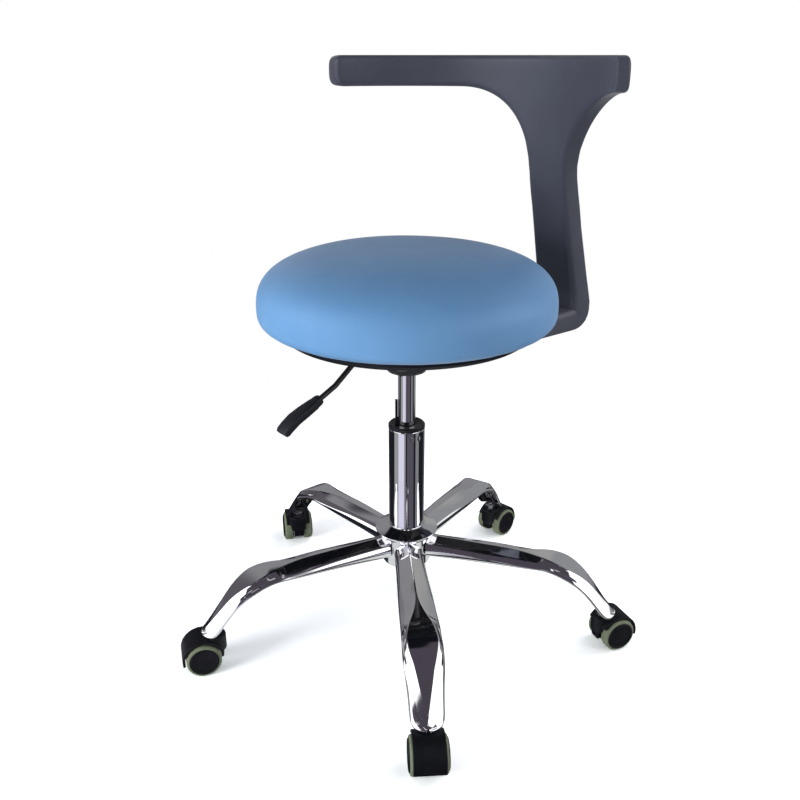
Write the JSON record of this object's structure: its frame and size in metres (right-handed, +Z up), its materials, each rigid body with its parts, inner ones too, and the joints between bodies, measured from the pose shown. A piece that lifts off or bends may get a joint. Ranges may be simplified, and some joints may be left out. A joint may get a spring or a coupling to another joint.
{
  "type": "dentist stool",
  "caption": "Dentist stool with a round padded seat, a swinging curved arm rest, a gas lift with a height lever and a star base on twin-wheel casters.",
  "frame": {"origin": "on the floor, on the axis of the column", "axes": "+Z up along the column, -Y towards the front leg, +X to the right seen from the front"},
  "size_m": [0.646, 0.6266, 0.793],
  "materials": {
    "chrome": "bright polished plating",
    "steel": "plain machined steel",
    "alloy": "plain turned alloy",
    "black_steel": "black satin paint",
    "black_plastic": "matt moulded black",
    "white_plastic": "smooth moulded white",
    "arm_skin": "satin dark grey moulded foam skin",
    "tyre": "matt grey-green",
    "plywood": "bare plywood",
    "foam": "open upholstery foam",
    "upholstery": "satin sky-blue artificial leather"
  },
  "bodies": {
    "base": {"hub": "chrome", "leg_front": "chrome", "leg_right": "chrome", "leg_back_right": "chrome", "leg_back_left": "chrome", "leg_left": "chrome", "caster_stems": "steel", "column_tube": "chrome", "guide_bushing": "black_plastic", "thrust_bearing": "steel"},
    "piston": {"piston_rod": "chrome", "piston_head": "alloy", "rod_clip": "steel"},
    "lift": {"gas_cylinder": "chrome", "inner_cylinder": "alloy", "rod_guide": "black_plastic", "seat_mount": "black_steel", "seat_screws": "steel", "seat_board": "plywood", "seat_pan": "black_plastic", "seat_foam": "foam", "seat_cover": "upholstery", "lever_pin": "steel", "arm_clip": "steel"},
    "arm": {"arm_bush": "white_plastic", "arm_bracket": "black_steel", "arm_pad": "arm_skin"},
    "lever": {"lever_rod": "black_steel", "lever_paddle": "black_plastic"},
    "valve": {"valve_pin": "steel"},
    "caster_front": {"hood_front": "black_plastic", "axle_front": "steel"},
    "wheel_front_a": {"core_front_a": "black_plastic", "tyre_front_a": "tyre"},
    "wheel_front_b": {"core_front_b": "black_plastic", "tyre_front_b": "tyre"},
    "caster_right": {"hood_right": "black_plastic", "axle_right": "steel"},
    "wheel_right_a": {"core_right_a": "black_plastic", "tyre_right_a": "tyre"},
    "wheel_right_b": {"core_right_b": "black_plastic", "tyre_right_b": "tyre"},
    "caster_back_right": {"hood_back_right": "black_plastic", "axle_back_right": "steel"},
    "wheel_back_right_a": {"core_back_right_a": "black_plastic", "tyre_back_right_a": "tyre"},
    "wheel_back_right_b": {"core_back_right_b": "black_plastic", "tyre_back_right_b": "tyre"},
    "caster_back_left": {"hood_back_left": "black_plastic", "axle_back_left": "steel"},
    "wheel_back_left_a": {"core_back_left_a": "black_plastic", "tyre_back_left_a": "tyre"},
    "wheel_back_left_b": {"core_back_left_b": "black_plastic", "tyre_back_left_b": "tyre"},
    "caster_left": {"hood_left": "black_plastic", "axle_left": "steel"},
    "wheel_left_a": {"core_left_a": "black_plastic", "tyre_left_a": "tyre"},
    "wheel_left_b": {"core_left_b": "black_plastic", "tyre_left_b": "tyre"}
  },
  "joints": [
    {"name": "seat_swivel", "type": "hinge", "parent": "base", "child": "piston", "pos_m": [0, 0, 0.11], "axis": [0, 0, 1], "continuous": true},
    {"name": "height", "type": "slide", "parent": "piston", "child": "lift", "axis": [0, 0, 1], "range_m": [-0.04, 0.062]},
    {"name": "arm_swing", "type": "hinge", "parent": "lift", "child": "arm", "pos_m": [0, 0, 0.405], "axis": [0, 0, 1], "range_deg": [-150, 150]},
    {"name": "lever_pull", "type": "hinge", "parent": "lift", "child": "lever", "pos_m": [-0.02605, -0.02185, 0.44077], "axis": [-0.6428, 0.766, 0], "range_deg": [0, 6]},
    {"name": "valve_press", "type": "slide", "parent": "lift", "child": "valve", "axis": [0, 0, 1], "range_m": [-0.0038, 0]},
    {"name": "swivel_front", "type": "hinge", "parent": "base", "child": "caster_front", "pos_m": [0.02294, -0.28508, 0.045], "axis": [0, 0, 1], "continuous": true},
    {"name": "wheel_front_a", "type": "hinge", "parent": "caster_front", "child": "wheel_front_a", "pos_m": [0.02426, -0.30403, 0.024], "axis": [0.9976, 0.0698, 0], "continuous": true},
    {"name": "wheel_front_b", "type": "hinge", "parent": "caster_front", "child": "wheel_front_b", "pos_m": [0.02426, -0.30403, 0.024], "axis": [0.9976, 0.0698, 0], "continuous": true},
    {"name": "swivel_right", "type": "hinge", "parent": "base", "child": "caster_right", "pos_m": [0.27821, -0.06628, 0.045], "axis": [0, 0, 1], "continuous": true},
    {"name": "wheel_right_a", "type": "hinge", "parent": "caster_right", "child": "wheel_right_a", "pos_m": [0.29583, -0.05916, 0.024], "axis": [-0.3746, 0.9272, 0], "continuous": true},
    {"name": "wheel_right_b", "type": "hinge", "parent": "caster_right", "child": "wheel_right_b", "pos_m": [0.29583, -0.05916, 0.024], "axis": [-0.3746, 0.9272, 0], "continuous": true},
    {"name": "swivel_back_right", "type": "hinge", "parent": "base", "child": "caster_back_right", "pos_m": [0.14901, 0.24412, 0.045], "axis": [0, 0, 1], "continuous": true},
    {"name": "wheel_back_right_a", "type": "hinge", "parent": "caster_back_right", "child": "wheel_back_right_a", "pos_m": [0.16244, 0.25755, 0.024], "axis": [-0.7071, 0.7071, 0], "continuous": true},
    {"name": "wheel_back_right_b", "type": "hinge", "parent": "caster_back_right", "child": "wheel_back_right_b", "pos_m": [0.16244, 0.25755, 0.024], "axis": [-0.7071, 0.7071, 0], "continuous": true},
    {"name": "swivel_back_left", "type": "hinge", "parent": "base", "child": "caster_back_left", "pos_m": [-0.18612, 0.21715, 0.045], "axis": [0, 0, 1], "continuous": true},
    {"name": "wheel_back_left_a", "type": "hinge", "parent": "caster_back_left", "child": "wheel_back_left_a", "pos_m": [-0.19007, 0.23574, 0.024], "axis": [-0.9781, -0.2079, 0], "continuous": true},
    {"name": "wheel_back_left_b", "type": "hinge", "parent": "caster_back_left", "child": "wheel_back_left_b", "pos_m": [-0.19007, 0.23574, 0.024], "axis": [-0.9781, -0.2079, 0], "continuous": true},
    {"name": "swivel_left", "type": "hinge", "parent": "base", "child": "caster_left", "pos_m": [-0.26404, -0.10991, 0.045], "axis": [0, 0, 1], "continuous": true},
    {"name": "wheel_left_a", "type": "hinge", "parent": "caster_left", "child": "wheel_left_a", "pos_m": [-0.28221, -0.11546, 0.024], "axis": [0.2924, -0.9563, 0], "continuous": true},
    {"name": "wheel_left_b", "type": "hinge", "parent": "caster_left", "child": "wheel_left_b", "pos_m": [-0.28221, -0.11546, 0.024], "axis": [0.2924, -0.9563, 0], "continuous": true}
  ],
  "couplings": [
    {"joint": "valve_press", "follows": "lever_pull", "m_per_rad": -0.033}
  ]
}
